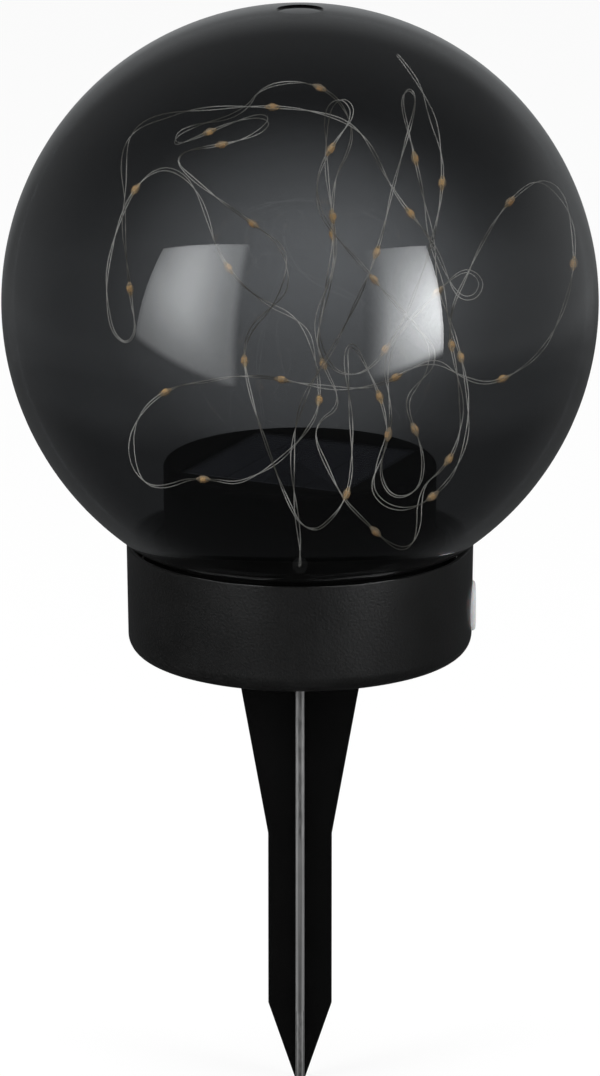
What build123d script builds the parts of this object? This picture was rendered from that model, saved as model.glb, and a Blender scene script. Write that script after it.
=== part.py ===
from build123d import *
import math
import os

# A garden lamp: a smoked globe over a solar housing and a tangle of small lights, on a round base
# that is pushed onto a ground spike. Millimetres, +Z up, the origin in the middle of the base's
# underside, on the ground line. The front is towards -Y and the power button is on +X.

# Globe
globe_diameter = 150.0
globe_wall = 2.0
neck_top_height = 26.7
neck_wall = 2.0
gate_diameter = 10.0
gate_depth = 0.5
lug_count = 3
lug_angle = 18.0
lug_height = 2.2
lug_reach = 1.3
ledge_height = 1.7
ledge_angle = 30.0
stop_angle = 3.0
stop_gap_angle = 1.0
seal_width = 2.6
seal_thickness = 1.0

# Base
base_diameter = 87.8
base_height = 28.0
base_draft = 0.4
base_edge_radius = 4.5
base_wall = 1.7
floor_thickness = 2.4
foot_height = 1.2
foot_width = 2.6
rib_count = 6
rib_width = 2.0
rib_depth = 2.2

# Solar housing
seat_height = 21.0
flange_thickness = 2.0
housing_diameter = 69.2
housing_top_height = 49.0
housing_wall = 1.8
housing_top = 3.6
housing_edge_radius = 1.4
flare_height = 2.5
post_angles = (195.0, 270.0, 345.0)
post_diameter = 5.6
post_inset = 2.4
post_overlap_height = 5.0
housing_screw_diameter = 2.9
housing_screw_length = 12.0
housing_screw_head_diameter = 5.0
housing_screw_head_height = 1.0

# Solar panel
panel_side = 45.0
panel_turn = -25.0
panel_board_thickness = 1.0
cell_count = 4
cell_gap = 0.6
cell_border = 1.5
cell_thickness = 0.3
resin_thickness = 0.8
panel_sink = 0.2

# Circuit board
board_length = 40.0
board_width = 22.0
board_thickness = 1.2
board_post_diameter = 5.0
board_post_height = 7.4
board_post_spacing = 32.0
board_screw_diameter = 2.2
board_screw_length = 5.0
board_screw_head_diameter = 4.0
board_screw_head_height = 1.4
chip_length = 5.0
chip_width = 4.0
chip_height = 1.5
inductor_diameter = 6.0
inductor_height = 5.0
capacitor_diameter = 5.0
capacitor_height = 7.0

# Battery and its compartment
battery_diameter = 10.5
battery_length = 44.5
battery_nub_diameter = 3.8
battery_nub_length = 1.0
contact_thickness = 0.4
contact_width = 7.0
contact_leaf_width = 4.2
contact_tab_height = 2.0
spring_depth = 2.7
tub_wall = 1.2
tub_gap = 0.2
door_thickness = 1.0
door_lap = 3.0
door_corner_radius = 4.0
door_seal_thickness = 0.4
door_seal_width = 1.8
door_tab_radius = 3.6
door_tab_offset = 11.2
door_screw_diameter = 2.4
door_screw_length = 7.0
door_screw_head_diameter = 4.4
door_screw_head_height = 1.0
door_boss_diameter = 5.0
door_boss_height = 5.0

# Power button and switch
button_diameter = 12.8
button_height = 11.2
button_proud = 0.6
button_edge_bevel = 0.5
button_travel = 1.0
button_flange_diameter = 14.4
button_flange_thickness = 1.4
switch_width = 7.0
switch_depth = 6.0
plunger_diameter = 3.0
plunger_length = 4.4
plunger_showing = 2.0

# Ground spike
peg_diameter = 16.0
peg_length = 14.5
peg_bevel = 0.8
socket_wall = 2.0
collar_diameter = 35.0
rib_thickness = 2.0
spike_top_width = 33.7
spike_shank_width = 16.3
spike_tip_width = 2.5
spike_taper_length = 49.0
spike_shank_length = 45.5
spike_point_length = 20.5

# Wires
lead_diameter = 1.0
wire_diameter = 0.8
wire_sides = 4
exit_drop = 4.8
exit_room = 2.5
grommet_diameter = 3.0
grommet_flange_diameter = 3.8
grommet_flange_thickness = 0.8
bead_length = 4.4
bead_diameter = 2.2
bead_end_diameter = 1.3
bead_sides = 6

# Clearances
fit_gap = 0.3
running_gap = 0.08
screw_gap = 0.05
wire_gap = 0.1
bead_gap = 0.15
neck_gap = 0.8
rim_gap = 0.4

# The light string's way through the globe, from the grommet to its bare end
wire_route = [
    # out of the grommet, up the front and over to the small loop at the upper right
    (0, -35.5, 32), (0, -38.5, 32.5), (0, -40.5, 35), (0, -41.5, 39.5), (-1, -41, 47.5), (-2, -37, 57),
    (-1.5, -31, 65), (1.5, -24, 73.5), (7.5, -17, 81), (12.5, -11, 89.5), (17.5, -5, 99), (21, 2, 108.5),
    (23, 7, 117), (25.5, 11, 125), (27.5, 14, 131.5), (29, 15.5, 137), (29, 17, 140), (27.5, 19.5, 141),
    # down the right side, round the lower right and up again
    (26, 21.5, 139), (26, 22, 135), (28, 21, 127.5), (30.5, 19, 117), (32.5, 16, 107), (34.5, 11, 97),
    (36.5, 3, 88.5), (39, -6, 82), (41, -14, 76.5), (42, -20, 68.5), (41.5, -26, 62), (39, -31, 56),
    (35.5, -35, 52), (30.5, -38, 48.5), (25.5, -39, 47), (20.5, -37.5, 48), (17.5, -33, 51), (19.5, -27, 56),
    (22, -21, 61), (21, -16, 66.5), (19, -12, 71.5), (16, -9, 77), (13.5, -10, 82), (11.5, -14.5, 82),
    # the deep loop in front of the housing, then up the left of the middle
    (11.5, -19, 77.5), (12.5, -25, 69.5), (13, -31, 60.5), (12.5, -37, 53.5), (10.5, -41, 49), (7.5, -44, 46),
    (4, -45.5, 43.5), (0, -46.5, 45.5), (-2.5, -45.5, 50), (-5.5, -41, 56), (-8.5, -36, 63.5), (-11.5, -30, 71),
    (-13.5, -24, 78), (-14, -19, 83), (-12, -15, 87.5), (-7.5, -11, 91), (-4, -7, 94.5), (-3, -2, 99.5),
    (-4.5, 3, 104), (-9, 6, 107), (-15, 10, 110.5), (-22, 15, 114.5), (-28, 21, 118), (-31.5, 27, 120.5),
    # the bunch at the upper left, then the arc over the top
    (-29.5, 33, 122), (-23.5, 38, 122), (-16, 42, 122.5), (-10, 45, 124.5), (-7.5, 48.5, 127), (-11, 52, 127.5),
    (-19.5, 51.5, 125), (-28.5, 48, 121.5), (-32.5, 43, 121.5), (-31.5, 39, 125.5), (-25.5, 36, 128.5),
    (-18, 36, 130), (-13, 37, 133), (-11, 37, 136.5), (-6.5, 36, 139), (1, 34, 140), (8, 32, 137.5),
    (12, 31, 132.5), (13.5, 30, 127), (12, 28, 122), (9, 26, 117), (8, 21, 109), (8.5, 15, 99.5), (6.5, 9, 91),
    # down the middle, across the front and round the low loop at the right
    (4, 2, 84), (4.5, -4, 78.5), (7, -10, 74), (9.5, -14, 70), (9, -18, 67), (5, -22, 65.5), (3.5, -26, 62),
    (6.5, -32, 56.5), (10.5, -37.5, 49.5), (16, -38.5, 44), (21, -36.5, 38.5), (25, -33.5, 35.5), (28, -32, 36.5),
    (29.5, -31, 41), (29.5, -30, 46), (31, -27, 50.5), (35, -25, 53), (39, -22, 58.5), (40.5, -18, 65),
    (40, -13, 71.5), (38.5, -7, 77.5), (37.5, -1, 83), (38.5, 5, 88.5), (42, 8, 95),
    # the wide arc by the right wall, then back across the middle to the left
    (45.5, 10, 102.5), (50.5, 9, 111.5), (55.5, 7, 117.5), (60, 4, 121), (64.5, 1, 119), (67.5, -2, 113.5),
    (68.5, -6, 105.5), (67.5, -10, 97.5), (64.5, -14, 89), (60, -17, 81.5), (53.5, -17, 76), (46.5, -13, 72),
    (40, -7, 73), (34.5, -3, 76), (28.5, 0, 73.5), (21, 3, 68), (11.5, 6, 66), (1, 10, 66.5), (-9, 12, 68),
    (-17.5, 10, 68.5), (-24, 6, 68), (-30.5, 1, 68.5), (-36.5, -4, 66.5), (-40.5, -9, 63), (-42.5, -14, 58),
    # the loop at the lower left and back to the middle
    (-41.5, -18, 52), (-38, -22, 48.5), (-33, -25, 49), (-27.5, -28, 52), (-21, -31, 52.5), (-16, -33, 52),
    (-11, -31, 53.5), (-6.5, -28, 55.5), (-2, -24, 58.5), (1.5, -19, 61.5), (4.5, -13, 65), (5, -6, 69.5),
    (4, 1, 75), (2, 7, 81), (-2, 12, 84), (-8.5, 16, 86), (-15.5, 20, 90.5), (-21, 24, 97.5), (-23.5, 28, 105.5),
    # the two strands by the left wall, then the long arc over the top
    (-26, 31, 111.5), (-30, 33, 116), (-35, 32, 118), (-40, 28, 116), (-44, 23, 111), (-47, 17, 103.5),
    (-49, 10, 95), (-48.5, 4, 87.5), (-47, 0, 82), (-43.5, -3, 80), (-41, -6, 84), (-42, -8, 91.5),
    (-43, -9, 101), (-44, -8, 111), (-43.5, -6, 119.5), (-44, -3, 126.5), (-43, 0, 132), (-39, 4, 135.5),
    (-30.5, 9, 137), (-22, 12, 137.5), (-13, 14, 137.5), (-2.5, 15, 137), (7, 14, 135.5), (13.5, 12, 133),
    (17.5, 9, 129), (21, 4, 122.5), (25, -1, 116.5), (29.5, -6, 112), (33.5, -10, 107), (36, -13, 101.5),
    # round a curl at the right
    (38, -16, 97.5), (40.5, -18.5, 95.5), (43.5, -20.5, 96.5), (45, -22, 100), (43.5, -23.5, 103),
    (40.5, -25, 104.5),
    # across to the lower right and round the cluster there
    (36.5, -26.5, 102), (31.5, -28, 97), (26.5, -29, 92), (22.5, -30, 86.5), (21, -31.5, 80.5),
    (22, -33, 74.5), (22.5, -35, 68.5), (21, -37.5, 62.5), (19.5, -40, 57), (21.5, -42, 52),
    (25.5, -42.5, 51), (29.5, -41, 53.5), (30.5, -38, 58.5), (29.5, -34.5, 63.5), (27, -31.5, 68.5),
    (26.5, -28, 72.5), (29.5, -24.5, 75.5), (32.5, -21.5, 78.5), (33, -19, 83), (30, -17.5, 87),
    # up and across the middle
    (25.5, -17, 92), (20.5, -17.5, 97.5), (16, -18.5, 103.5), (11.5, -19.5, 108.5), (7.5, -20, 113.5),
    (4.5, -19.5, 119), (4, -18, 125), (6, -16, 130.5),
    # a small curl at the top
    (9.5, -14, 135.5), (12.5, -12, 139), (13, -9.5, 142), (10.5, -7.5, 144), (7.5, -6, 142),
    (6.5, -6, 138),
    # down through the middle
    (6.5, -7.5, 132.5), (6.5, -9.5, 126), (7.5, -11, 119), (8.5, -12, 112), (9, -12.5, 105),
    (7.5, -12.5, 98), (5.5, -12.5, 91.5), (4.5, -13, 85), (6, -14.5, 79.5), (9.5, -16.5, 76),
    (14.5, -18.5, 76),
    # and up to the bare end at the top right
    (19, -20, 79.5), (23, -21, 86), (26.5, -21, 92.5), (29, -20, 99), (31.5, -18, 105.5),
    (33.5, -15, 112.5), (35, -12, 119.5), (35.5, -9, 126.5), (34.5, -6.5, 133), (32.5, -4.5, 139.5),
    (30, -3, 145.5), (27, -2, 150), (24, -1.5, 153.5),
]
# A light sits in the middle of each of these runs, counted from the grommet
bead_runs = [
    10, 20, 25, 30, 37, 45, 54, 61, 67, 72, 81, 87, 91, 99, 106,
    110, 115, 120, 124, 128, 131, 135, 142, 149, 155, 161, 169, 178, 184,
    194, 200, 207, 215, 221, 230, 239, 245,
]

# Worked-out places
base_radius = base_diameter / 2
base_foot_radius = base_radius - base_draft
base_inner_radius = base_foot_radius - base_wall
lug_radius = base_inner_radius - fit_gap
neck_radius = lug_radius - lug_reach
neck_inner_radius = neck_radius - neck_wall
neck_bottom = seat_height + seal_thickness
globe_radius = globe_diameter / 2
globe_inner_radius = globe_radius - globe_wall
globe_centre_height = neck_top_height + math.sqrt(globe_radius**2 - neck_radius**2)
floor_bottom = foot_height
floor_top = floor_bottom + floor_thickness
flange_bottom = seat_height - flange_thickness
flange_radius = base_inner_radius - fit_gap
ledge_bottom = neck_bottom + lug_height + fit_gap
ledge_inner_radius = neck_radius + fit_gap
housing_radius = housing_diameter / 2
housing_inner_radius = housing_radius - housing_wall
housing_ceiling = housing_top_height - housing_top
skirt_radius = neck_inner_radius - neck_gap
skirt_inner_radius = skirt_radius - housing_wall
post_circle_radius = skirt_inner_radius - post_inset
recess_depth = panel_sink + resin_thickness + cell_thickness + panel_board_thickness
recess_floor = housing_top_height - recess_depth
board_top = housing_ceiling - board_post_height
board_bottom = board_top - board_thickness
exit_height = board_bottom - exit_drop
flare_top = exit_height - exit_room
skirt_top_height = flare_top - flare_height
door_bottom = floor_bottom
door_top = door_bottom + door_thickness
door_seat = door_top + door_seal_thickness
socket_radius = peg_diameter / 2 + running_gap
socket_top = floor_bottom + peg_length + fit_gap
battery_axis_height = door_top + fit_gap + battery_diameter / 2
compartment_length = battery_length + contact_thickness + spring_depth + contact_thickness
compartment_width = battery_diameter + 3 * fit_gap
battery_offset = socket_radius + socket_wall + tub_gap + tub_wall + compartment_width / 2
compartment_top = battery_axis_height + battery_diameter / 2 + fit_gap
tub_top = compartment_top + tub_wall
battery_start = -compartment_length / 2 + contact_thickness
battery_end = battery_start + battery_length
door_tab_y = battery_offset + door_tab_offset
button_hole_radius = button_diameter / 2 + fit_gap
button_face = base_radius + button_proud
flange_face = math.sqrt(base_inner_radius**2 - (button_flange_diameter / 2) ** 2) - fit_gap
button_back = flange_face - button_flange_thickness
switch_front = button_back - plunger_showing
switch_back = switch_front - switch_depth


def disc(radius, bottom, top, x=0, y=0):
    """An upright cylinder between two heights."""
    return Pos(x, y, (bottom + top) / 2) * Cylinder(radius, top - bottom)


def ring(outer, inner, bottom, top):
    """A flat ring round the lamp's axis."""
    return disc(outer, bottom, top) - disc(inner, bottom, top)


def block(length, width, bottom, top, x=0, y=0):
    """An upright box between two heights."""
    return Pos(x, y, (bottom + top) / 2) * Box(length, width, top - bottom)


def side_disc(radius, start, end, height):
    """A cylinder along X between two distances from the lamp's axis."""
    return Pos((start + end) / 2, 0, height) * Rot(0, 90, 0) * Cylinder(radius, end - start)


def arc_block(inner, outer, bottom, top, start, sweep):
    """A block bent round the lamp's axis, from one angle through a sweep."""
    section = Plane.XZ * Pos((inner + outer) / 2, (bottom + top) / 2) * Rectangle(outer - inner, top - bottom)
    return Rot(0, 0, start) * revolve(section, Axis.Z, sweep)


def around(count, first=0.0):
    """Evenly spaced angles."""
    return [first + index * 360 / count for index in range(count)]


def on_circle(radius, angle):
    """The X and Y of a point at an angle."""
    return radius * math.cos(math.radians(angle)), radius * math.sin(math.radians(angle))


def bend_radii(points):
    """The radius at each inner point: as large as its two runs allow."""
    spots = [Vector(*point) for point in points]
    radii = []
    for before, here, after in zip(spots, spots[1:], spots[2:]):
        shorter = min((here - before).length, (after - here).length)
        turn = math.radians((here - before).get_angle(after - here))
        radii.append(0.45 * shorter / math.tan(turn / 2))
    return radii


def tube(points, diameter, sides):
    """A tube along straight runs joined by tangent arcs."""
    path = FilletPolyline(*points, radius=bend_radii(points))
    section = Plane(origin=path @ 0, z_dir=path % 0) * RegularPolygon(diameter / 2, sides)
    return sweep(section, path=path), path


def make_globe():
    """The blown globe: a hollow ball, its neck, the moulding mark at the top and the twist-lock lugs."""
    centre = globe_centre_height
    outer_join = neck_top_height
    inner_join = centre - math.sqrt(globe_inner_radius**2 - neck_inner_radius**2)
    profile = make_face(
        [
            RadiusArc((0, centre + globe_radius), (globe_radius, centre), globe_radius),
            RadiusArc((globe_radius, centre), (neck_radius, outer_join), globe_radius),
            Line((neck_radius, outer_join), (neck_radius, neck_bottom)),
            Line((neck_radius, neck_bottom), (neck_inner_radius, neck_bottom)),
            Line((neck_inner_radius, neck_bottom), (neck_inner_radius, inner_join)),
            RadiusArc((neck_inner_radius, inner_join), (globe_inner_radius, centre), -globe_inner_radius),
            RadiusArc((globe_inner_radius, centre), (0, centre + globe_inner_radius), -globe_inner_radius),
            Line((0, centre + globe_inner_radius), (0, centre + globe_radius)),
        ]
    )
    body = revolve(Plane.XZ * profile, Axis.Z)
    top = centre + globe_radius
    body -= disc(gate_diameter / 2, top - gate_depth, top + gate_depth)
    root = neck_radius - neck_wall / 2
    for angle in around(lug_count):
        body += arc_block(root, lug_radius, neck_bottom, neck_bottom + lug_height, angle - lug_angle / 2, lug_angle)
    return body


def make_base_shell():
    """The moulded base: a drafted cup with a foot ring, a spike socket, twist-lock ledges and supports."""
    profile = make_face(
        Polyline(
            (0, 0),
            (base_foot_radius, 0),
            (base_radius, base_height),
            (0, base_height),
            close=True,
        )
    )
    body = revolve(Plane.XZ * profile, Axis.Z)
    lower_edge = body.edges().sort_by(Axis.Z)[0]
    body = fillet(lower_edge, base_edge_radius)
    body -= disc(base_inner_radius, floor_top, base_height)
    foot_outer = base_foot_radius - base_edge_radius
    body -= disc(foot_outer - foot_width, 0, floor_bottom)
    body -= Pos(0, 0, globe_centre_height) * Sphere(globe_radius + rim_gap)

    # the blind socket that the spike's peg goes up into
    body += disc(socket_radius + socket_wall, floor_bottom, socket_top + socket_wall)
    body -= disc(socket_radius, floor_bottom, socket_top)

    # ribs that carry the solar housing's flange
    wall_bite = base_wall / 2
    for angle in around(rib_count, 180 / rib_count):
        middle = base_inner_radius + (wall_bite - rib_depth) / 2
        rib = Pos(middle, 0, 0) * block(rib_depth + wall_bite, rib_width, floor_top, flange_bottom)
        body += Rot(0, 0, angle) * rib

    # ledges that the globe's lugs turn under, each with a stop at its locked end
    ledge_outer = base_inner_radius + wall_bite
    ledge_top = ledge_bottom + ledge_height
    half_lug = lug_angle / 2
    for angle in around(lug_count):
        locked_end = angle - half_lug - stop_angle
        body += arc_block(ledge_inner_radius, ledge_outer, ledge_bottom, ledge_top, locked_end, ledge_angle)
        stop_start = locked_end - stop_angle
        stop_sweep = 2 * stop_angle - stop_gap_angle
        body += arc_block(ledge_inner_radius, ledge_outer, neck_bottom, ledge_top, stop_start, stop_sweep)

    # the battery opening, its rebate for the door, and the boss for the door's screw
    body -= block(compartment_length, compartment_width, floor_bottom, floor_top, 0, battery_offset)
    body -= extrude(Pos(0, 0, door_bottom) * door_outline(fit_gap), door_seat - door_bottom)
    body += disc(door_boss_diameter / 2, door_seat, floor_top + door_boss_height, 0, door_tab_y)
    bore = door_screw_diameter / 2 + screw_gap
    body -= disc(bore, door_seat, door_top + door_screw_length, 0, door_tab_y)

    # holes for the housing's screws
    for angle in post_angles:
        x, y = on_circle(post_circle_radius, angle)
        body -= disc(housing_screw_diameter / 2 + fit_gap, floor_bottom, floor_top, x, y)

    # the button's hole and the stand that its switch sits on
    body -= side_disc(button_hole_radius, base_inner_radius - base_wall, base_radius + base_wall, button_height)
    stand_x = (switch_front + switch_back) / 2
    body += block(switch_depth, switch_width, floor_top, button_height - switch_width / 2, stand_x, 0)
    return body


def door_outline(margin):
    """The battery door's outline, grown by a margin: a rounded rectangle with a tab for its screw."""
    length = compartment_length + 2 * door_lap + 2 * margin
    width = compartment_width + 2 * door_lap + 2 * margin
    plate = Pos(0, battery_offset) * RectangleRounded(length, width, door_corner_radius + margin)
    tab = Pos(0, door_tab_y) * Circle(door_tab_radius + margin)
    bridge_length = door_tab_offset
    bridge = Pos(0, battery_offset + bridge_length / 2) * Rectangle(2 * (door_tab_radius + margin), bridge_length)
    return plate + bridge + tab


def make_battery_door():
    """The cover of the battery opening, flush in the base's underside."""
    plate = extrude(Pos(0, 0, door_bottom) * door_outline(0), door_thickness)
    hole = disc(door_screw_diameter / 2 + fit_gap, door_bottom, door_top, 0, door_tab_y)
    return plate - hole


def make_door_seal():
    """The flat gasket between the battery door and the floor."""
    outer_length = compartment_length + 2 * door_seal_width
    outer_width = compartment_width + 2 * door_seal_width
    band = block(outer_length, outer_width, door_top, door_seat, 0, battery_offset)
    return band - block(compartment_length, compartment_width, door_top, door_seat, 0, battery_offset)


def make_screw(diameter, length, head_diameter, head_height, seat, x, y):
    """A pan-head screw that points up, its head under a seat."""
    shank = disc(diameter / 2, seat, seat + length, x, y)
    head = disc(head_diameter / 2, seat - head_height, seat, x, y)
    head = chamfer(head.edges().sort_by(Axis.Z)[0], head_height / 2)
    return shank + head


def make_panel_housing():
    """The black housing in the globe: a can with the panel's recess, a skirt, a flange and screw posts."""
    slant = housing_wall
    profile = make_face(
        Polyline(
            (0, housing_top_height),
            (housing_radius, housing_top_height),
            (housing_radius, flare_top),
            (skirt_radius, skirt_top_height),
            (skirt_radius, seat_height),
            (flange_radius, seat_height),
            (flange_radius, flange_bottom),
            (skirt_inner_radius, flange_bottom),
            (skirt_inner_radius, skirt_top_height - slant / 2),
            (housing_inner_radius, flare_top - slant / 2),
            (housing_inner_radius, housing_ceiling),
            (0, housing_ceiling),
            close=True,
        )
    )
    body = revolve(Plane.XZ * profile, Axis.Z)
    body = fillet(body.edges().sort_by(Axis.Z)[-1], housing_edge_radius)
    pocket = Rot(0, 0, panel_turn) * block(
        panel_side + 2 * fit_gap, panel_side + 2 * fit_gap, recess_floor, housing_top_height
    )
    body -= pocket
    for x in panel_lead_places():
        body -= disc(lead_diameter / 2 + fit_gap, housing_ceiling, recess_floor, x, 0)
    for x in (-board_post_spacing / 2, board_post_spacing / 2):
        body += disc(board_post_diameter / 2, board_top, housing_ceiling, x, 0)
        bore = board_screw_diameter / 2 + screw_gap
        body -= disc(bore, board_top, board_bottom + board_screw_length, x, 0)
    for angle in post_angles:
        x, y = on_circle(post_circle_radius, angle)
        body += disc(post_diameter / 2, floor_top, flange_bottom + post_overlap_height, x, y)
        bore = housing_screw_diameter / 2 + screw_gap
        body -= disc(bore, floor_top, floor_bottom + housing_screw_length + fit_gap, x, y)
    body -= exit_disc(grommet_diameter / 2, housing_inner_radius - housing_wall, housing_radius + housing_wall)
    return body


def exit_disc(radius, inner, outer):
    """A cylinder along the wire's exit, at the front of the housing."""
    return Pos(0, -(inner + outer) / 2, exit_height) * Rot(90, 0, 0) * Cylinder(radius, outer - inner)


def make_wire_grommet():
    """The bush that the light string leaves through, with a flange on each side of the wall."""
    inner_wall = math.sqrt(housing_inner_radius**2 - (grommet_flange_diameter / 2) ** 2)
    inner_face = inner_wall - grommet_flange_thickness
    outer_face = housing_radius + grommet_flange_thickness
    body = exit_disc(grommet_diameter / 2, inner_face, outer_face)
    body += exit_disc(grommet_flange_diameter / 2, inner_face, inner_wall)
    body += exit_disc(grommet_flange_diameter / 2, housing_radius, outer_face)
    return body - exit_disc(wire_diameter / 2 + wire_gap, inner_face, outer_face)


def panel_lead_places():
    """Where the panel's two leads pass down, along X."""
    return (-board_length / 10, board_length / 10)


def make_panel_board():
    """The panel's backing board."""
    return Rot(0, 0, panel_turn) * block(panel_side, panel_side, recess_floor, recess_floor + panel_board_thickness)


def make_solar_cells():
    """The panel's cells: strips side by side on the backing board."""
    bottom = recess_floor + panel_board_thickness
    field = panel_side - 2 * cell_border
    pitch = (field + cell_gap) / cell_count
    strips = []
    for index in range(cell_count):
        x = (index - (cell_count - 1) / 2) * pitch
        strip = block(pitch - cell_gap, field, bottom, bottom + cell_thickness, x, 0)
        strips.append(Rot(0, 0, panel_turn) * strip)
    return Compound(strips)


def make_panel_resin():
    """The clear resin cast over the cells."""
    bottom = recess_floor + panel_board_thickness + cell_thickness
    return Rot(0, 0, panel_turn) * block(panel_side, panel_side, bottom, bottom + resin_thickness)


def make_circuit_board():
    """The driver board, under the posts of the housing's top."""
    board = block(board_length, board_width, board_bottom, board_top)
    for x in (-board_post_spacing / 2, board_post_spacing / 2):
        board -= disc(board_screw_diameter / 2 + screw_gap, board_bottom, board_top, x, 0)
    return board


def make_battery_tub():
    """The closed tub over the battery, with a slot for each contact's tab."""
    outer = block(
        compartment_length + 2 * tub_wall, compartment_width + 2 * tub_wall, floor_top, tub_top, 0, battery_offset
    )
    body = outer - block(compartment_length, compartment_width, floor_top, compartment_top, 0, battery_offset)
    for end in (-1, 1):
        x = end * (compartment_length - contact_thickness) / 2
        slot_width = contact_width / 2 + 2 * fit_gap
        body -= block(contact_thickness, slot_width, compartment_top, tub_top, x, battery_offset)
    return body


def contact_plate(end):
    """A contact's flat plate against one end of the tub, with its solder tab through the slot."""
    x = end * (compartment_length - contact_thickness) / 2
    plate = block(contact_thickness, contact_width, floor_top, compartment_top, x, battery_offset)
    tab = block(contact_thickness, contact_width / 2, compartment_top, tub_top + contact_tab_height, x, battery_offset)
    return plate + tab


def make_negative_contact():
    """The sprung contact: a plate with a bowed leaf that presses on the cell."""
    plate_face = compartment_length / 2 - contact_thickness
    reach = plate_face - battery_end
    half = contact_width / 2
    bow = make_face(
        Polyline(
            (plate_face, battery_axis_height + half),
            (battery_end, battery_axis_height + contact_thickness),
            (battery_end, battery_axis_height - contact_thickness),
            (plate_face, battery_axis_height - half),
            (plate_face, battery_axis_height - half + 2 * contact_thickness),
            (plate_face - reach + contact_thickness, battery_axis_height),
            (plate_face, battery_axis_height + half - 2 * contact_thickness),
            close=True,
        )
    )
    leaf = extrude(Plane.XZ * bow, contact_leaf_width / 2, both=True)
    return contact_plate(1) + Pos(0, battery_offset, 0) * leaf


def make_battery_cell():
    """One rechargeable cell on its side, its raised end to -X."""
    can_start = battery_start + battery_nub_length
    can = side_disc(battery_diameter / 2, can_start, battery_end, battery_axis_height)
    nub = side_disc(battery_nub_diameter / 2, battery_start, can_start, battery_axis_height)
    return Pos(0, battery_offset, 0) * (can + nub)


def make_power_button():
    """The soft button cap: a round face with a flange that stays inside the wall."""
    face = side_disc(button_diameter / 2, button_back, button_face, button_height)
    face = chamfer(face.edges().sort_by(Axis.X)[-1], button_edge_bevel)
    return face + side_disc(button_flange_diameter / 2, button_back, flange_face, button_height)


def make_switch_body():
    """The push switch behind the button."""
    middle = (switch_front + switch_back) / 2
    half = switch_width / 2
    body = block(switch_depth, switch_width, button_height - half, button_height + half, middle, 0)
    bore_end = button_back - plunger_length - button_travel - fit_gap
    return body - side_disc(plunger_diameter / 2 + running_gap, bore_end, switch_front, button_height)


def make_switch_plunger():
    """The switch's plunger, pressed by the cap."""
    return side_disc(plunger_diameter / 2, button_back - plunger_length, button_back, button_height)


def make_spike():
    """The ground spike: two crossed ribs that taper to a point, a collar and the peg for the base."""
    kink = -spike_taper_length
    shoulder = kink - spike_shank_length
    tip = shoulder - spike_point_length
    outline = make_face(
        Polyline(
            (-spike_top_width / 2, 0),
            (spike_top_width / 2, 0),
            (spike_shank_width / 2, kink),
            (spike_shank_width / 2, shoulder),
            (spike_tip_width / 2, tip),
            (-spike_tip_width / 2, tip),
            (-spike_shank_width / 2, shoulder),
            (-spike_shank_width / 2, kink),
            close=True,
        )
    )
    blade = extrude(Plane.XZ * outline, rib_thickness / 2, both=True)
    peg = disc(peg_diameter / 2, floor_bottom, floor_bottom + peg_length)
    peg = chamfer(peg.edges().sort_by(Axis.Z)[-1], peg_bevel)
    collar = disc(collar_diameter / 2, 0, floor_bottom)
    return blade + Rot(0, 0, 90) * blade + collar + peg


def make_leads():
    """The inner leads, by node name: straight drops and gentle bends of thin insulated wire."""
    panel = [disc(lead_diameter / 2, board_top, recess_floor, x, 0) for x in panel_lead_places()]
    tab_top = tub_top + contact_tab_height
    battery = []
    switch = []
    for end in (-1, 1):
        tab_x = end * (compartment_length - contact_thickness) / 2
        pad_x = end * board_length * 3 / 8
        pad_y = board_width / 4
        way = [
            (tab_x, battery_offset, tab_top),
            (tab_x, battery_offset, tab_top + contact_width),
            (pad_x, pad_y, board_bottom - contact_width),
            (pad_x, pad_y, board_bottom),
        ]
        battery.append(tube(way, lead_diameter, wire_sides)[0])
        side = end * switch_width / 4
        pad = board_length * 7 / 16
        way = [
            (switch_back, side, button_height),
            (switch_back - switch_depth, side, button_height),
            (pad, 2 * side, board_bottom - 2 * switch_depth),
            (pad, 2 * side, board_bottom),
        ]
        switch.append(tube(way, lead_diameter, wire_sides)[0])
    way = [
        (0, -board_width * 3 / 8, board_bottom),
        (0, -board_width * 3 / 8, exit_height),
        (0, -(housing_radius + grommet_flange_thickness), exit_height),
    ]
    light = tube(way, wire_diameter, wire_sides)[0]
    return {
        "panel_leads": Compound(panel),
        "battery_leads": Compound(battery),
        "switch_leads": Compound(switch),
        "led_lead": light,
    }


def make_beads():
    """The lights: one clear drop round the wire in the middle of each chosen run."""
    half = bead_length / 2
    middle = RegularPolygon(bead_diameter / 2, bead_sides)
    end = RegularPolygon(bead_end_diameter / 2, bead_sides)
    drop = loft([Pos(0, 0, -half) * end, middle, Pos(0, 0, half) * end], ruled=True)
    bore = RegularPolygon(wire_diameter / 2 + bead_gap, bead_sides)
    drop -= extrude(bore, half, both=True)
    drops = []
    for run in bead_runs:
        start = Vector(*wire_route[run])
        stop = Vector(*wire_route[run + 1])
        drops.append(Plane(origin=(start + stop) / 2, z_dir=stop - start) * drop)
    return Compound(drops)


def least_gap(path, diameter):
    """The least gap of a tube to itself, measured on points along its path."""
    spots = []
    gone = 0.0
    for edge in path.edges():
        steps = max(2, round(edge.length / diameter))
        spots += [(edge @ (step / steps), gone + edge.length * step / steps) for step in range(steps)]
        gone += edge.length
    least = gone
    same_bend = 8 * diameter
    for index, (here, along) in enumerate(spots):
        for there, further in spots[index + 1 :]:
            if further - along > same_bend:
                least = min(least, (here - there).length)
    return least - diameter


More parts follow.
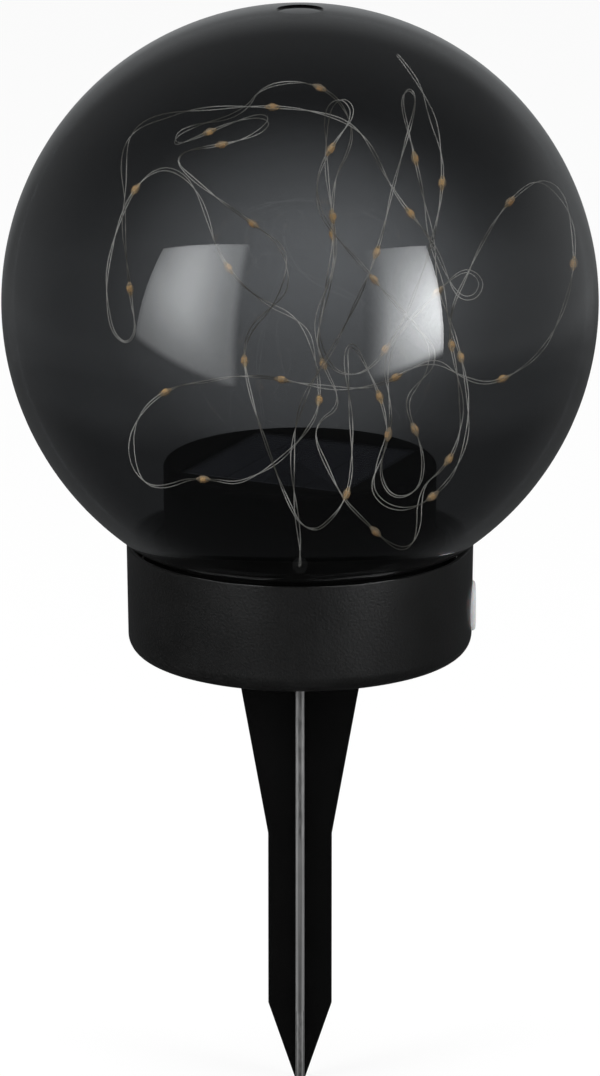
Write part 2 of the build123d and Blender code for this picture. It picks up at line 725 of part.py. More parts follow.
parts = {
    "globe": make_globe(),
    "globe_seal": ring(neck_inner_radius + seal_width, neck_inner_radius, seat_height, neck_bottom),
    "base_shell": make_base_shell(),
    "panel_housing": make_panel_housing(),
    "panel_board": make_panel_board(),
    "solar_cells": make_solar_cells(),
    "panel_resin": make_panel_resin(),
    "circuit_board": make_circuit_board(),
    "driver_chip": block(
        chip_length, chip_width, board_bottom - chip_height, board_bottom, -board_length / 6, board_width / 7
    ),
    "inductor": disc(
        inductor_diameter / 2, board_bottom - inductor_height, board_bottom, board_length / 6, board_width / 7
    ),
    "capacitor": disc(
        capacitor_diameter / 2, board_bottom - capacitor_height, board_bottom, -board_length / 5, -board_width / 4
    ),
    "battery_tub": make_battery_tub(),
    "battery_cell": make_battery_cell(),
    "positive_contact": contact_plate(-1),
    "negative_contact": make_negative_contact(),
    "battery_door": make_battery_door(),
    "door_seal": make_door_seal(),
    "door_screw": make_screw(
        door_screw_diameter,
        door_screw_length,
        door_screw_head_diameter,
        door_screw_head_height,
        door_bottom,
        0,
        door_tab_y,
    ),
    "power_button": make_power_button(),
    "switch_plunger": make_switch_plunger(),
    "switch_body": make_switch_body(),
    "wire_grommet": make_wire_grommet(),
    "led_beads": make_beads(),
    "spike": make_spike(),
}
parts.update(make_leads())

parts["housing_screws"] = Compound(
    [
        make_screw(
            housing_screw_diameter,
            housing_screw_length,
            housing_screw_head_diameter,
            housing_screw_head_height,
            floor_bottom,
            *on_circle(post_circle_radius, angle),
        )
        for angle in post_angles
    ]
)
parts["board_screws"] = Compound(
    [
        make_screw(
            board_screw_diameter,
            board_screw_length,
            board_screw_head_diameter,
            board_screw_head_height,
            board_bottom,
            x,
            0,
        )
        for x in (-board_post_spacing / 2, board_post_spacing / 2)
    ]
)

wire, wire_path = tube(wire_route, wire_diameter, wire_sides)
parts["led_wire"] = wire
section_area = wire_sides / 2 * (wire_diameter / 2) ** 2 * math.sin(2 * math.pi / wire_sides)
print("light string length", round(wire_path.length), "mm")
print("light string volume over section times length", round(wire.volume / section_area / wire_path.length, 4))
print("light string bend radii", [round(radius, 1) for radius in sorted(bend_radii(wire_route))[:12]], "and up")
print("light string least gap to itself", round(least_gap(wire_path, wire_diameter), 2), "mm")

os.makedirs("parts", exist_ok=True)
for name, shape in parts.items():
    export_step(shape, f"parts/{name}.step")
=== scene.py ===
import math

import bpy
from mathutils import Matrix, Vector


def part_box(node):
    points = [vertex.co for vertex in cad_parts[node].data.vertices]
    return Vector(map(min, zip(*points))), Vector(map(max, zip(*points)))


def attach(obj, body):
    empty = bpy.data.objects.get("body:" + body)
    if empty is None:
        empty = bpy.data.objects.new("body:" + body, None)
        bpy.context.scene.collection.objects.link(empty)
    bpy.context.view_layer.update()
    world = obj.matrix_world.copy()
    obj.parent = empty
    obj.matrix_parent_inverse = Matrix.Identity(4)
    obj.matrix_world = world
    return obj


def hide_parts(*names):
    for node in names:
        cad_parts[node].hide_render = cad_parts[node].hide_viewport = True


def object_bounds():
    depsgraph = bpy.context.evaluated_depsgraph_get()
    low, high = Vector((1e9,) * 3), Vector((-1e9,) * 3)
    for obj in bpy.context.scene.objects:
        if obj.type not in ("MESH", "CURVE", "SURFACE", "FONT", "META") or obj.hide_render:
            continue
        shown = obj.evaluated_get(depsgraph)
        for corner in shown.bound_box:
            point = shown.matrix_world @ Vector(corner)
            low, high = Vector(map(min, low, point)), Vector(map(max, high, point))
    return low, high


# A garden lamp: a smoked ball over a solar housing and a tangle of small lights, on a round black base
# with a ground spike. Metres, +Z up, the front towards -Y.
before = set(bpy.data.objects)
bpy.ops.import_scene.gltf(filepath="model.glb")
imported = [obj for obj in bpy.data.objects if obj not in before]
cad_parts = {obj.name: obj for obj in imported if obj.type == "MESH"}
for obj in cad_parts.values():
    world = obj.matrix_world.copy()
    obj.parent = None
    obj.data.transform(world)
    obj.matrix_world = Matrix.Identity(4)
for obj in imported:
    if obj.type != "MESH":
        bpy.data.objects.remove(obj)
cad_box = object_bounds()

# Photograph and camera
photo_height = 1076
camera_distance = 2.0
camera_elevation = 13.5
camera_pitch = 15.2
focal_pixels = 7962
sensor_size = 36.0
camera_reach = 50.0

# Globe
globe_low, globe_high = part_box("globe")
gate_radius = 0.005
gate_rim = 0.0004
gate_depth = 0.0005
globe_radius = globe_high.x
globe_centre = Vector((0, 0, globe_high.z + gate_depth - globe_radius))
globe_wall = 0.002
globe_segments = 160
globe_rings = 120
neck_top = 0.0267
neck_bottom = globe_low.z
neck_cut_room = 0.00001
lug_angles = (0.0, 120.0, 240.0)
lug_half_angle = 9.0
lug_height = 0.0022
lug_reach = 0.0013

# Base
base_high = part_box("base_shell")[1]
base_foot_radius = 0.0435
base_corner = 0.0045
base_steps = 192
base_corner_steps = 16
wall_room = 0.00005
foot_room = 0.0002

# Spike: half of a rib's thickness, with a little room
rib_reach = 0.0011

# Button: a flat rim, a step down into the dish and the dish's shallow floor
button_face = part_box("power_button")[1].x
button_face_room = 0.0001
button_rim = 0.0010
dish_step = 0.0004
dish_depth = 0.0004
dish_floor = 0.0018
dish_floor_depth = 0.00012

# Eased edges of the moulded pieces
base_edge = 0.0004
housing_edge = 0.0003
spike_edge = 0.0003
button_edge = 0.0004
door_edge = 0.0002
edge_steps = 2

# Meshes: how near points are merged, the angles, in degrees, of flat, sharp and smooth edges,
# and how straight a face has to point in a direction
merge_distance = 0.000002
flat_angle = 0.5
sharp_angle = 35.0
smooth_angle = 30.0
round_smooth_angle = 60.0
straight_cosine = 0.9
flat_cosine = 0.99

# Screws
post_angles = (195.0, 270.0, 345.0)
post_circle_radius = 0.0332
cross_turns = (12.0, 70.0, 38.0)
housing_screw_radius = 0.0025
door_screw_radius = 0.0022
screw_head_height = 0.001
screw_head_steps = 48
head_bevel = 0.00045
head_bevel_steps = 4
recess_length = 0.0027
recess_width = 0.0006
recess_depth = 0.0006

# Solar panel
panel_turn = -25.0
finger_pitch = 0.0021
finger_width = 0.00014

# Light string
string_steps = 6
strand_diameter = 0.00024
strand_offset = 0.00028
strand_pitch = 0.031
strand_slack = (0.0002, 0.0, 0.00045, 0.0001, 0.0003)
drop_length = 0.0039
drop_diameter = 0.0019
drop_segments = 16
drop_rings = 12
drop_end_start = 0.22
drop_end_widths = {-1: 0.72, 1: 0.9}
light_chip_size = (0.0007, 0.00085, 0.0013)
light_chip_place = (0, 0.0002, 0.0002)
light_chip_edge = 0.0001

# Floor and background
floor_size = 8.0
floor_height = cad_box[0].z - 0.0004
floor_grey = 0.86
floor_roughness = 0.9
floor_white_share = 0.9
fill_light = 0.35
sight_light = 1.0

# The dim room's size, lights and tint
room_radius = 0.8
room_segments = 64
room_rings = 48
table_height = cad_box[0].z - 0.0002
room_tint = (0.95, 0.98, 1.0, 1)
table_light = 0.005
far_table_light = 0.045
dark_room_light = 0.02
back_wall_light = 0.11
horizon_light = 0.08
side_wall_light = 0.1
left_wall_share = 0.15
through_light = 0.15
glow_light = 0.2
bright_glow_light = 0.38

# Where the room's lights lie, as seen from the ball: elevations and angles in degrees, spans and spreads
# as parts of a direction of length 1
wall_foot = (-17.0, -9.0)
back_wall_rise = 12.0
back_wall_angles = (36.0, 14.0)
horizon_rise = 5.0
horizon_angles = (18.0, 6.0)
side_wall_span = (0.25, 0.65)
side_wall_end = (8.0, 30.0)
far_table_span = (0.0, 0.6)
through_foot = (-19.3, -17.2)
through_foot_share = 0.5
through_top = (-14.0, -7.0)
through_top_loss = 0.65
glow_angles = (6.5, 0.0)
bright_glow_rise = -12.1
bright_glow_across = 0.014
bright_glow_spread = (0.068, 0.041)

# Softboxes. The corners are azimuth and elevation as seen from the ball, from the lower inner one round
# by the lower outer. The core, its spread and the fade at the inner and lower edges are shares of the card.
card_distance = 0.7
card_tint = (0.97, 0.99, 1.0, 1)
faces_of_one_wall = 2.5
cards = {
    "left_card": {
        "corners": ((-22, -20), (-62, -6), (-57, 25), (-20, 33)),
        "core": (0.6, 0.75),
        "spread": (0.35, 0.45),
        "fade": (0.12, 0.12),
        "edge_light": 0.75,
        "core_light": 2.4,
    },
    "right_card": {
        "corners": ((21, -18), (53, -10), (53, 27), (25, 30)),
        "core": (1.0, 0.45),
        "spread": (0.55, 0.45),
        "fade": (0.4, 0.12),
        "edge_light": 0.5,
        "core_light": 7.0,
    },
}

# Lamps
lamps = {
    "left_lamp": {"place": (-1.15, -0.75, 0.75), "size": 0.6, "watts": 17.0},
    "right_lamp": {"place": (1.15, -0.75, 0.75), "size": 0.6, "watts": 14.0},
    "front_lamp": {"place": (0.0, -1.7, 0.6), "size": 0.6, "watts": 4.0},
    "top_lamp": {"place": (0.0, 0.1, 1.5), "size": 0.8, "watts": 13.0},
}

# The light string's way through the globe, from the grommet to its bare end, in millimetres
route_millimetres = [
    # out of the grommet, up the front and over to the small loop at the upper right
    (0, -35.5, 32), (0, -38.5, 32.5), (0, -40.5, 35), (0, -41.5, 39.5), (-1, -41, 47.5), (-2, -37, 57),
    (-1.5, -31, 65), (1.5, -24, 73.5), (7.5, -17, 81), (12.5, -11, 89.5), (17.5, -5, 99), (21, 2, 108.5),
    (23, 7, 117), (25.5, 11, 125), (27.5, 14, 131.5), (29, 15.5, 137), (29, 17, 140), (27.5, 19.5, 141),
    # down the right side, round the lower right and up again
    (26, 21.5, 139), (26, 22, 135), (28, 21, 127.5), (30.5, 19, 117), (32.5, 16, 107), (34.5, 11, 97),
    (36.5, 3, 88.5), (39, -6, 82), (41, -14, 76.5), (42, -20, 68.5), (41.5, -26, 62), (39, -31, 56),
    (35.5, -35, 52), (30.5, -38, 48.5), (25.5, -39, 47), (20.5, -37.5, 48), (17.5, -33, 51),
    (19.5, -27, 56), (22, -21, 61), (21, -16, 66.5), (19, -12, 71.5), (16, -9, 77), (13.5, -10, 82),
    (11.5, -14.5, 82),
    # the deep loop in front of the housing, then up the left of the middle
    (11.5, -19, 77.5), (12.5, -25, 69.5), (13, -31, 60.5), (12.5, -37, 53.5), (10.5, -41, 49),
    (7.5, -44, 46), (4, -45.5, 43.5), (0, -46.5, 45.5), (-2.5, -45.5, 50), (-5.5, -41, 56),
    (-8.5, -36, 63.5), (-11.5, -30, 71), (-13.5, -24, 78), (-14, -19, 83), (-12, -15, 87.5),
    (-7.5, -11, 91), (-4, -7, 94.5), (-3, -2, 99.5), (-4.5, 3, 104), (-9, 6, 107), (-15, 10, 110.5),
    (-22, 15, 114.5), (-28, 21, 118), (-31.5, 27, 120.5),
    # the bunch at the upper left, then the arc over the top
    (-29.5, 33, 122), (-23.5, 38, 122), (-16, 42, 122.5), (-10, 45, 124.5), (-7.5, 48.5, 127),
    (-11, 52, 127.5), (-19.5, 51.5, 125), (-28.5, 48, 121.5), (-32.5, 43, 121.5), (-31.5, 39, 125.5),
    (-25.5, 36, 128.5), (-18, 36, 130), (-13, 37, 133), (-11, 37, 136.5), (-6.5, 36, 139), (1, 34, 140),
    (8, 32, 137.5), (12, 31, 132.5), (13.5, 30, 127), (12, 28, 122), (9, 26, 117), (8, 21, 109),
    (8.5, 15, 99.5), (6.5, 9, 91),
    # down the middle, across the front and round the low loop at the right
    (4, 2, 84), (4.5, -4, 78.5), (7, -10, 74), (9.5, -14, 70), (9, -18, 67), (5, -22, 65.5),
    (3.5, -26, 62), (6.5, -32, 56.5), (10.5, -37.5, 49.5), (16, -38.5, 44), (21, -36.5, 38.5),
    (25, -33.5, 35.5), (28, -32, 36.5), (29.5, -31, 41), (29.5, -30, 46), (31, -27, 50.5), (35, -25, 53),
    (39, -22, 58.5), (40.5, -18, 65), (40, -13, 71.5), (38.5, -7, 77.5), (37.5, -1, 83), (38.5, 5, 88.5),
    (42, 8, 95),
    # the wide arc by the right wall, then back across the middle to the left
    (45.5, 10, 102.5), (50.5, 9, 111.5), (55.5, 7, 117.5), (60, 4, 121), (64.5, 1, 119),
    (67.5, -2, 113.5), (68.5, -6, 105.5), (67.5, -10, 97.5), (64.5, -14, 89), (60, -17, 81.5),
    (53.5, -17, 76), (46.5, -13, 72), (40, -7, 73), (34.5, -3, 76), (28.5, 0, 73.5), (21, 3, 68),
    (11.5, 6, 66), (1, 10, 66.5), (-9, 12, 68), (-17.5, 10, 68.5), (-24, 6, 68), (-30.5, 1, 68.5),
    (-36.5, -4, 66.5), (-40.5, -9, 63), (-42.5, -14, 58),
    # the loop at the lower left and back to the middle
    (-41.5, -18, 52), (-38, -22, 48.5), (-33, -25, 49), (-27.5, -28, 52), (-21, -31, 52.5),
    (-16, -33, 52), (-11, -31, 53.5), (-6.5, -28, 55.5), (-2, -24, 58.5), (1.5, -19, 61.5),
    (4.5, -13, 65), (5, -6, 69.5), (4, 1, 75), (2, 7, 81), (-2, 12, 84), (-8.5, 16, 86),
    (-15.5, 20, 90.5), (-21, 24, 97.5), (-23.5, 28, 105.5),
    # the two strands by the left wall, then the long arc over the top
    (-26, 31, 111.5), (-30, 33, 116), (-35, 32, 118), (-40, 28, 116), (-44, 23, 111), (-47, 17, 103.5),
    (-49, 10, 95), (-48.5, 4, 87.5), (-47, 0, 82), (-43.5, -3, 80), (-41, -6, 84), (-42, -8, 91.5),
    (-43, -9, 101), (-44, -8, 111), (-43.5, -6, 119.5), (-44, -3, 126.5), (-43, 0, 132), (-39, 4, 135.5),
    (-30.5, 9, 137), (-22, 12, 137.5), (-13, 14, 137.5), (-2.5, 15, 137), (7, 14, 135.5), (13.5, 12, 133),
    (17.5, 9, 129), (21, 4, 122.5), (25, -1, 116.5), (29.5, -6, 112), (33.5, -10, 107), (36, -13, 101.5),
    # round a curl at the right
    (38, -16, 97.5), (40.5, -18.5, 95.5), (43.5, -20.5, 96.5), (45, -22, 100), (43.5, -23.5, 103),
    (40.5, -25, 104.5),
    # across to the lower right and round the cluster there
    (36.5, -26.5, 102), (31.5, -28, 97), (26.5, -29, 92), (22.5, -30, 86.5), (21, -31.5, 80.5),
    (22, -33, 74.5), (22.5, -35, 68.5), (21, -37.5, 62.5), (19.5, -40, 57), (21.5, -42, 52),
    (25.5, -42.5, 51), (29.5, -41, 53.5), (30.5, -38, 58.5), (29.5, -34.5, 63.5), (27, -31.5, 68.5),
    (26.5, -28, 72.5), (29.5, -24.5, 75.5), (32.5, -21.5, 78.5), (33, -19, 83), (30, -17.5, 87),
    # up and across the middle
    (25.5, -17, 92), (20.5, -17.5, 97.5), (16, -18.5, 103.5), (11.5, -19.5, 108.5), (7.5, -20, 113.5),
    (4.5, -19.5, 119), (4, -18, 125), (6, -16, 130.5),
    # a small curl at the top
    (9.5, -14, 135.5), (12.5, -12, 139), (13, -9.5, 142), (10.5, -7.5, 144), (7.5, -6, 142),
    (6.5, -6, 138),
    # down through the middle
    (6.5, -7.5, 132.5), (6.5, -9.5, 126), (7.5, -11, 119), (8.5, -12, 112), (9, -12.5, 105),
    (7.5, -12.5, 98), (5.5, -12.5, 91.5), (4.5, -13, 85), (6, -14.5, 79.5), (9.5, -16.5, 76),
    (14.5, -18.5, 76),
    # and up to the bare end at the top right
    (19, -20, 79.5), (23, -21, 86), (26.5, -21, 92.5), (29, -20, 99), (31.5, -18, 105.5),
    (33.5, -15, 112.5), (35, -12, 119.5), (35.5, -9, 126.5), (34.5, -6.5, 133), (32.5, -4.5, 139.5),
    (30, -3, 145.5), (27, -2, 150), (24, -1.5, 153.5),
]
string_route = [tuple(value / 1000 for value in place) for place in route_millimetres]

# A light sits in the middle of each of these runs, counted from the grommet
light_runs = [
    10, 20, 25, 30, 37, 45, 54, 61, 67, 72, 81, 87, 91, 99, 106, 110, 115, 120, 124, 128, 131, 135,
    142, 149, 155, 161, 169, 178, 184, 194, 200, 207, 215, 221, 230, 239, 245,
]


def hold(piece):
    """Selects one piece alone and makes it the active one."""
    bpy.ops.object.select_all(action="DESELECT")
    piece.select_set(True)
    bpy.context.view_layer.objects.active = piece


def start_piece(name):
    """Names the primitive that was just added and settles its place into its mesh."""
    piece = bpy.context.object
    piece.name = name
    piece.data.name = name
    hold(piece)
    bpy.ops.object.transform_apply(location=True, rotation=True, scale=True)
    return piece


def pick(piece, kind, items, chosen):
    """Goes into edit mode with only the chosen ones of a piece's faces or points selected."""
    hold(piece)
    bpy.ops.object.mode_set(mode="EDIT")
    bpy.ops.mesh.select_mode(type=kind)
    bpy.ops.mesh.select_all(action="DESELECT")
    bpy.ops.object.mode_set(mode="OBJECT")
    for item in getattr(piece.data, items):
        item.select = chosen(item)
    bpy.ops.object.mode_set(mode="EDIT")


def pick_faces(piece, chosen):
    """Picks the faces that a test on their middle and normal chooses."""
    pick(piece, "FACE", "polygons", lambda face: chosen(face.center, face.normal))


def pick_points(piece, chosen):
    """Picks the points that a test on their place chooses."""
    pick(piece, "VERT", "vertices", lambda point: chosen(point.co))


def leave_edit():
    """Goes back to object mode."""
    bpy.ops.object.mode_set(mode="OBJECT")


def extrude_down(depth):
    """Draws the selected edges straight down."""
    bpy.ops.mesh.extrude_region_move(TRANSFORM_OT_translate={"value": (0, 0, -depth)})


def apply_modifier(piece, kind, **settings):
    """Adds a modifier with its settings and applies it."""
    hold(piece)
    modifier = piece.modifiers.new(kind, kind)
    for key, value in settings.items():
        setattr(modifier, key, value)
    bpy.ops.object.modifier_apply(modifier=modifier.name)


def smooth(piece, angle=smooth_angle):
    """Shades a piece smooth across all edges flatter than an angle."""
    hold(piece)
    bpy.ops.object.shade_smooth_by_angle(angle=math.radians(angle))


def ease_edges(piece, width):
    """Rounds the sharp edges of a piece, as a mould leaves them."""
    apply_modifier(
        piece,
        "BEVEL",
        width=width,
        segments=edge_steps,
        limit_method="ANGLE",
        angle_limit=math.radians(sharp_angle),
    )
    smooth(piece)


def eased_copy(node, name, width):
    """A copy of a CAD piece with its sharp edges eased."""
    piece = bpy.data.objects.new(name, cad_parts[node].data.copy())
    piece.data.name = name
    piece.data.materials.clear()
    bpy.context.scene.collection.objects.link(piece)
    hold(piece)
    bpy.ops.mesh.customdata_custom_splitnormals_clear()
    bpy.ops.object.mode_set(mode="EDIT")
    bpy.ops.mesh.select_all(action="SELECT")
    bpy.ops.mesh.remove_doubles(threshold=merge_distance)
    bpy.ops.mesh.dissolve_limited(angle_limit=math.radians(flat_angle))
    leave_edit()
    ease_edges(piece, width)
    return piece


def lend_normals(piece, form, chosen):
    """Gives the chosen points of a piece the even normals of a clean form. The form is used up."""
    even = piece.vertex_groups.new(name="even")
    even.add([point.index for point in piece.data.vertices if chosen(point.co)], 1.0, "REPLACE")
    apply_modifier(
        piece,
        "DATA_TRANSFER",
        object=form,
        use_loop_data=True,
        data_types_loops={"CUSTOM_NORMAL"},
        loop_mapping="POLYINTERP_NEAREST",
        vertex_group=even.name,
    )
    piece.vertex_groups.clear()
    bpy.data.objects.remove(form)


def second_material(piece, material, chosen):
    """Gives the chosen faces of a finished piece another material."""
    piece.data.materials.append(material)
    piece.active_material_index = len(piece.data.materials) - 1
    pick_faces(piece, chosen)
    bpy.ops.object.material_slot_assign()
    leave_edit()


def finished(piece, material, body, slot, *nodes):
    """Gives a piece its material and body, and hides the CAD nodes that it stands for. The slot is not used.
    """
    piece.data.materials.clear()
    piece.data.materials.append(material)
    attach(piece, body)
    if nodes:
        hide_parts(*nodes)
    return piece


class Shade:
    """A value in a material's nodes: plain maths on it adds Math nodes."""

    def __init__(self, finish, socket):
        self.finish = finish
        self.socket = socket

    def maths(self, operation, first, second):
        """A Math node on two values."""
        return self.finish.add("ShaderNodeMath", {"operation": operation}, {0: first, 1: second})

    def __add__(self, other):
        return self.maths("ADD", self, other)

    def __radd__(self, other):
        return self.maths("ADD", other, self)

    def __sub__(self, other):
        return self.maths("SUBTRACT", self, other)

    def __rsub__(self, other):
        return self.maths("SUBTRACT", other, self)

    def __mul__(self, other):
        return self.maths("MULTIPLY", self, other)

    def __rmul__(self, other):
        return self.maths("MULTIPLY", other, self)

    def __truediv__(self, other):
        return self.maths("DIVIDE", self, other)

    def __lt__(self, other):
        return self.maths("LESS_THAN", self, other)

    def __gt__(self, other):
        return self.maths("GREATER_THAN", self, other)

    def __mod__(self, other):
        return self.maths("FLOORED_MODULO", self, other)

    def __abs__(self):
        return self.finish.add("ShaderNodeMath", {"operation": "ABSOLUTE"}, {0: self})


class Finish:
    """A material's nodes in the making."""

    def __init__(self, name, **constants):
        self.material = bpy.data.materials.new(name)
        self.material.use_nodes = True
        self.tree = self.material.node_tree
        self.shader = self.tree.nodes["Principled BSDF"]
        self.output = self.tree.nodes["Material Output"]
        self.surface = Shade(self, self.shader.outputs[0])
        for socket, value in constants.items():
            self.shader.inputs[socket.replace("_", " ")].default_value = value

    def add(self, kind, settings=None, inputs=None, output=0):
        """Adds a node with its settings, then the values or links of its sockets."""
        node = self.tree.nodes.new(kind)
        for key, value in (settings or {}).items():
            setattr(node, key, value)
        for key, value in (inputs or {}).items():
            self.feed(node.inputs[key], value)
        return Shade(self, node.outputs[output])

    def feed(self, socket, value):
        """Sets a socket to a number or colour, or links a value to it."""
        if isinstance(value, Shade):
            self.tree.links.new(value.socket, socket)
        else:
            socket.default_value = value

    def drive(self, **inputs):
        """Links values to the shader's own sockets."""
        for key, value in inputs.items():
            self.feed(self.shader.inputs[key.replace("_", " ")], value)

    def place(self, output="Object"):
        """The place of a spot on the piece, or on its UV map."""
        return self.add("ShaderNodeTexCoord", output=output)

    def axis(self, vector, name):
        """One axis of a vector."""
        return self.add("ShaderNodeSeparateXYZ", inputs={0: vector}, output=name)

    def noise(self, size, detail=3.0, stretch=(1, 1, 1)):
        """Noise with features of a size in metres, stretched along the axes."""
        scale = tuple(1 / share for share in stretch)
        where = self.add("ShaderNodeMapping", inputs={"Vector": self.place(), "Scale": scale})
        return self.add("ShaderNodeTexNoise", inputs={"Vector": where, "Scale": 1 / size, "Detail": detail})

    def blend(self, factor, first, second):
        """A colour between two colours."""
        colours = {"Factor": factor, "A": first, "B": second}
        return self.add("ShaderNodeMix", {"data_type": "RGBA"}, colours, output="Result")

    def bump(self, height, strength, distance):
        """A normal that follows a height."""
        relief = {"Height": height, "Strength": strength, "Distance": distance}
        return self.add("ShaderNodeBump", inputs=relief)

    def ramp(self, value, low, high):
        """0 below a low value, 1 above a high one, and smooth between them."""
        limits = {"Value": value, "From Min": low, "From Max": high}
        return self.add("ShaderNodeMapRange", {"interpolation_type": "SMOOTHSTEP"}, limits)

    def bell(self, sideways, upwards):
        """1 in the middle of a spot, and less the farther from it, sideways and upwards."""
        fall = 0 - sideways * sideways - upwards * upwards
        return self.add("ShaderNodeMath", {"operation": "EXPONENT"}, {0: fall})

    def mix(self, factor, first, second):
        """A surface between two surfaces."""
        return self.add("ShaderNodeMixShader", inputs={0: factor, 1: first, 2: second})

    def glow(self, tint, strength):
        """A surface that gives off light."""
        return self.add("ShaderNodeEmission", inputs={"Color": tint, "Strength": strength})

    def show(self, surface):
        """Makes a surface the one that the material shows."""
        self.feed(self.output.inputs["Surface"], surface)

    def let_lamps_through(self, tint):
        """Lets the rays from lamps pass straight through a clear material, to light what is inside."""
        lamp_ray = self.add("ShaderNodeLightPath", output="Is Shadow Ray")
        passing = self.add("ShaderNodeBsdfTransparent", inputs={"Color": tint})
        self.show(self.mix(lamp_ray, self.surface, passing))


def grey(level):
    """A grey as a colour."""
    return (level, level, level, 1)


def smoked_plastic():
    """The ball's clear grey plastic, with faint flow marks and a breath of dust."""
    finish = Finish("smoked_plastic", IOR=1.5, Transmission_Weight=1.0, Coat_IOR=1.5, Coat_Roughness=0.01)
    flow = finish.noise(0.03, detail=2.0, stretch=(1, 1, 3))
    dust = finish.noise(0.004, detail=5.0)
    finish.drive(
        Base_Color=finish.blend(flow, (0.405, 0.41, 0.42, 1), (0.435, 0.44, 0.445, 1)),
        Roughness=0.004 + dust * 0.02,
        Coat_Weight=0.9 - dust * 0.15,
    )
    finish.let_lamps_through(grey(1.0))
    return finish.material


def grained_black():
    """Black moulded plastic with a fine spark-eroded grain."""
    finish = Finish("grained_black", Specular_IOR_Level=0.7)
    grain = finish.noise(0.0006, detail=3.0)
    cloud = finish.noise(0.012, detail=4.0)
    shade = finish.ramp(grain * 0.7 + cloud * 0.3, 0.35, 0.65)
    finish.drive(
        Base_Color=finish.blend(shade, grey(0.004), grey(0.008)),
        Roughness=0.31 + cloud * 0.1,
        Normal=finish.bump(grain, strength=0.35, distance=0.00018),
    )
    return finish.material


def dull_black():
    """The solar housing's plain dull black plastic."""
    finish = Finish("dull_black", Specular_IOR_Level=0.12)
    cloud = finish.noise(0.015, detail=4.0)
    finish.drive(
        Base_Color=finish.blend(cloud, grey(0.0015), grey(0.003)),
        Roughness=0.58 + cloud * 0.12,
        Normal=finish.bump(cloud, strength=0.05, distance=0.0002),
    )
    return finish.material


def scuffed_and_highlit_black():
    """The spike's narrow rib edges, greyed in streaks and patches where they rub, with a painted highlight
    along their corners.
    """
    finish = Finish("scuffed_and_highlit_black", Specular_IOR_Level=0.4)
    streak = finish.ramp(finish.noise(0.0006, detail=3.0, stretch=(1, 1, 90)), 0.36, 0.64)
    worn = finish.ramp(finish.noise(0.012, detail=3.0), 0.3, 0.7)
    across = abs(finish.axis(finish.place(), "X"))
    deep = abs(finish.axis(finish.place(), "Y"))
    off_middle = finish.add("ShaderNodeMath", {"operation": "MINIMUM"}, {0: across, 1: deep})
    # The lighter band along each rib's corners is a painted highlight, standing in for gloss on the rounded
    # corners
    corner = finish.ramp(off_middle, 0.0002, 0.0007)
    finish.drive(
        Base_Color=finish.blend(corner * 0.6 + streak * 0.25 + worn * 0.15, grey(0.035), grey(0.20)),
        Roughness=0.4 + streak * 0.25,
        Normal=finish.bump(streak, strength=0.15, distance=0.0001),
    )
    return finish.material


def gloss_black():
    """Black polished plastic with faint draw marks from the mould."""
    finish = Finish("gloss_black", Specular_IOR_Level=0.4)
    drawn = finish.noise(0.0012, detail=3.0, stretch=(1, 1, 12))
    cloud = finish.noise(0.02, detail=3.0)
    finish.drive(
        Base_Color=finish.blend(cloud, grey(0.002), grey(0.004)),
        Roughness=0.16 + drawn * 0.14,
        Normal=finish.bump(drawn, strength=0.12, distance=0.0001),
    )
    return finish.material


def pale_silicone():
    """The button's milky soft rubber."""
    finish = Finish(
        "pale_silicone", Subsurface_Weight=0.4, Subsurface_Scale=0.002, Specular_IOR_Level=0.4
    )
    cloud = finish.noise(0.003, detail=3.0)
    grain = finish.noise(0.0003, detail=2.0)
    finish.drive(
        Base_Color=finish.blend(cloud, (0.40, 0.41, 0.42, 1), (0.50, 0.51, 0.52, 1)),
        Roughness=0.42 + cloud * 0.12,
        Normal=finish.bump(grain, strength=0.2, distance=0.00008),
    )
    return finish.material


def black_rubber():
    """Seals and bushes: dull black rubber."""
    finish = Finish("black_rubber", Specular_IOR_Level=0.3)
    cloud = finish.noise(0.002, detail=4.0)
    finish.drive(
        Base_Color=finish.blend(cloud, grey(0.012), grey(0.024)),
        Roughness=0.62 + cloud * 0.15,
        Normal=finish.bump(cloud, strength=0.2, distance=0.0001),
    )
    return finish.material


def solar_cell(turn):
    """Dark silicon with fine printed fingers, in line with the turned panel."""
    finish = Finish("solar_cell", Specular_IOR_Level=0.5)
    spin = (0, 0, -math.radians(turn))
    turned = finish.add("ShaderNodeMapping", inputs={"Vector": finish.place(), "Rotation": spin})
    finger = (finish.axis(turned, "Y") % finger_pitch) < finger_width
    crystal = finish.noise(0.006, detail=2.0)
    silicon = finish.blend(crystal, (0.010, 0.010, 0.013, 1), (0.019, 0.020, 0.025, 1))
    finish.drive(
        Base_Color=finish.blend(finger, silicon, grey(0.18)),
        Roughness=0.28 + crystal * 0.1,
    )
    return finish.material


def panel_backing():
    """The dark fibre board under the cells."""
    finish = Finish("panel_backing")
    weave = finish.noise(0.0006, detail=2.0)
    finish.drive(
        Base_Color=finish.blend(weave, (0.010, 0.011, 0.013, 1), (0.020, 0.021, 0.024, 1)),
        Roughness=0.5 + weave * 0.1,
    )
    return finish.material


def cast_resin():
    """The clear resin cast over the cells, slightly hazy."""
    finish = Finish("cast_resin", IOR=1.5, Transmission_Weight=1.0)
    haze = finish.noise(0.008, detail=3.0)
    finish.drive(
        Base_Color=finish.blend(haze, (0.80, 0.82, 0.86, 1), (0.90, 0.91, 0.94, 1)),
        Roughness=0.10 + haze * 0.12,
    )
    finish.let_lamps_through((0.85, 0.87, 0.9, 1))
    return finish.material


